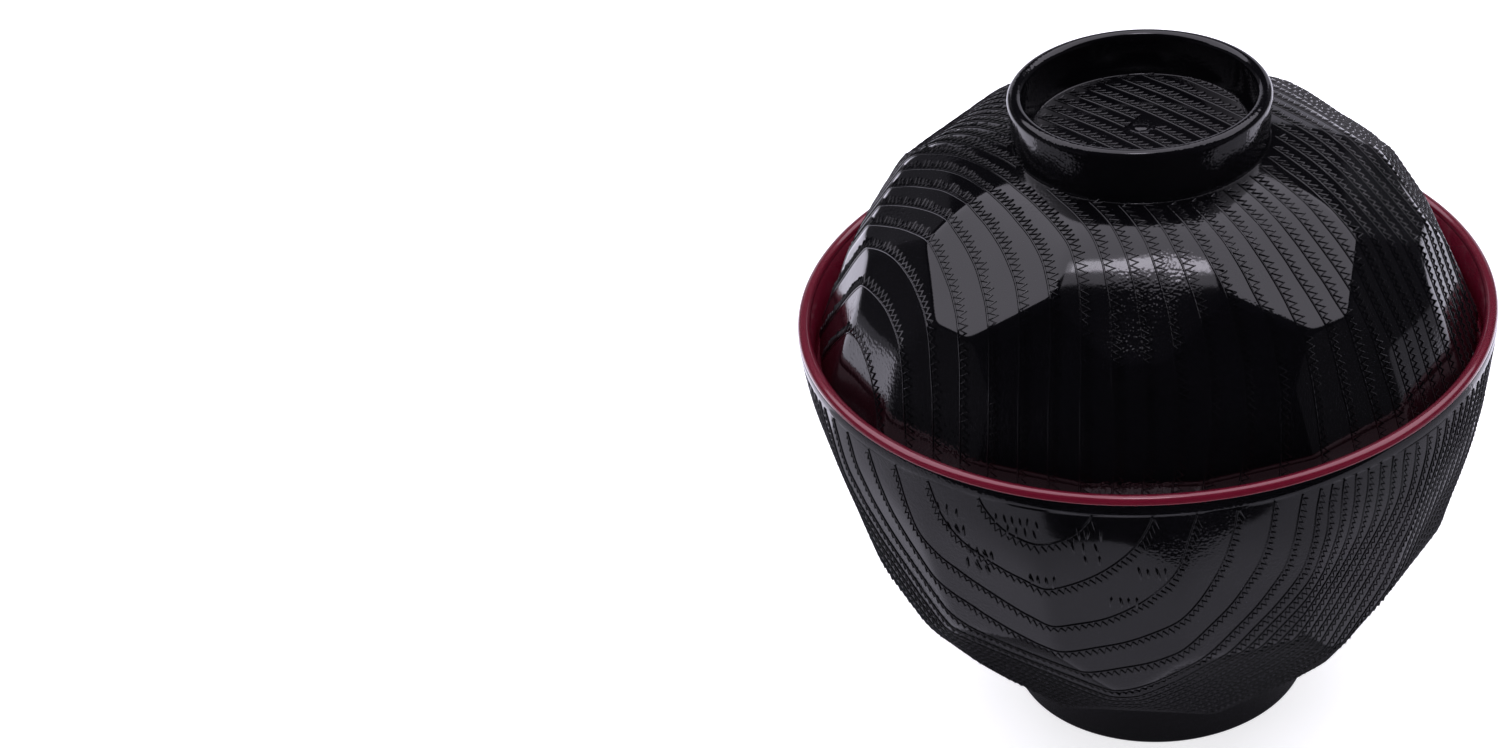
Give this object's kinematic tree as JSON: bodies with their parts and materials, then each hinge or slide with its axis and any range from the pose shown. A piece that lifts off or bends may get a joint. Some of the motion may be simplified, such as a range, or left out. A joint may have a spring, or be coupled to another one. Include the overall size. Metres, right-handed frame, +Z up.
{
  "type": "lidded rice bowl",
  "caption": "Round lidded rice bowl with faceted wood-grain outside, red lined inside, foot ring, and a domed lid with a grip ring that seats inside the rim.",
  "frame": {"origin": "centre of the foot ring on the table", "axes": "+Z up along the axis of bowl and lid; -Y faces the viewer"},
  "size_m": [0.118, 0.118, 0.116],
  "materials": {
    "black_shell": "high gloss black lacquer look over embossed wood grain",
    "red_lining": "smooth high gloss wine red"
  },
  "bodies": {
    "bowl": {"bowl_body": "black_shell", "bowl_lining": "red_lining"},
    "lid": {"lid_body": "black_shell", "lid_lining": "red_lining"}
  },
  "joints": [
    {"name": "lid_lift", "type": "slide", "parent": "bowl", "child": "lid", "axis": [0, 0, 1], "range_m": [0, 0.065]}
  ]
}
